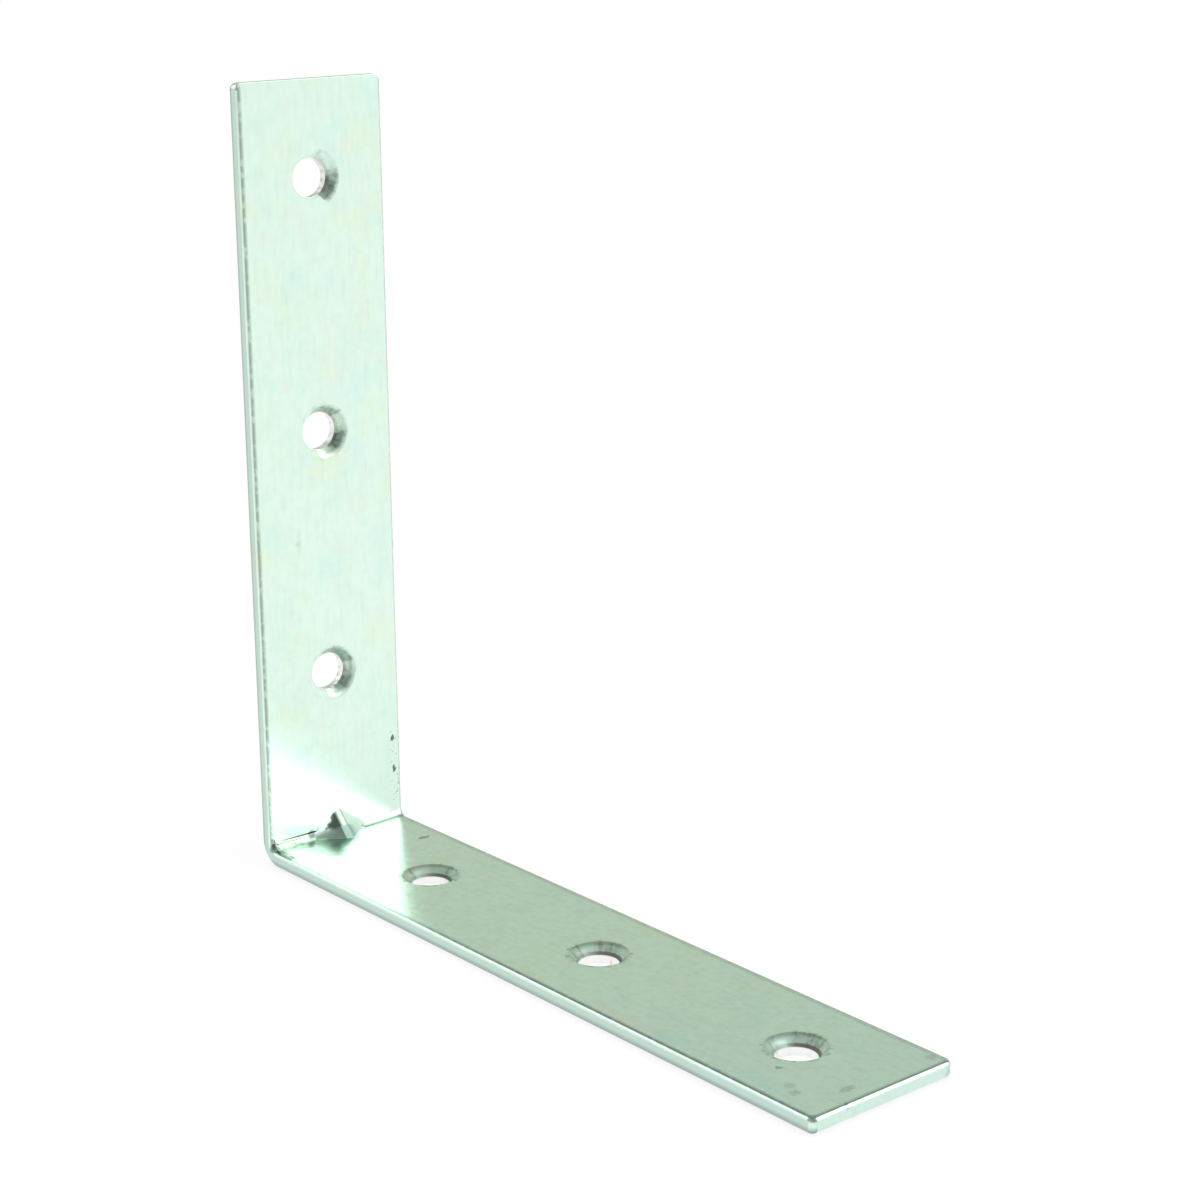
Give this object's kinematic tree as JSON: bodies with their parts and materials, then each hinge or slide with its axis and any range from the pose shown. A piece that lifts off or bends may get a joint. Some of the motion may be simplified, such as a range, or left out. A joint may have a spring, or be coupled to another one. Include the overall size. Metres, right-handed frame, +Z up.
{
  "type": "angle bracket",
  "caption": "Folded steel angle bracket that ties two members at a right angle, with countersunk screw holes in both legs and a pressed corner gusset.",
  "frame": {"origin": "outer corner of the fold, where the two outer faces would meet, half way across the strip", "axes": "+X along the foot towards its free end, +Z up the upright, +Y across the strip's width"},
  "size_m": [0.1006, 0.0208, 0.0989],
  "materials": {
    "zinc_plate": "bright zinc plate on smooth cold-rolled steel, faint green cast"
  },
  "bodies": {
    "root": {"bracket": "zinc_plate"}
  },
  "joints": []
}
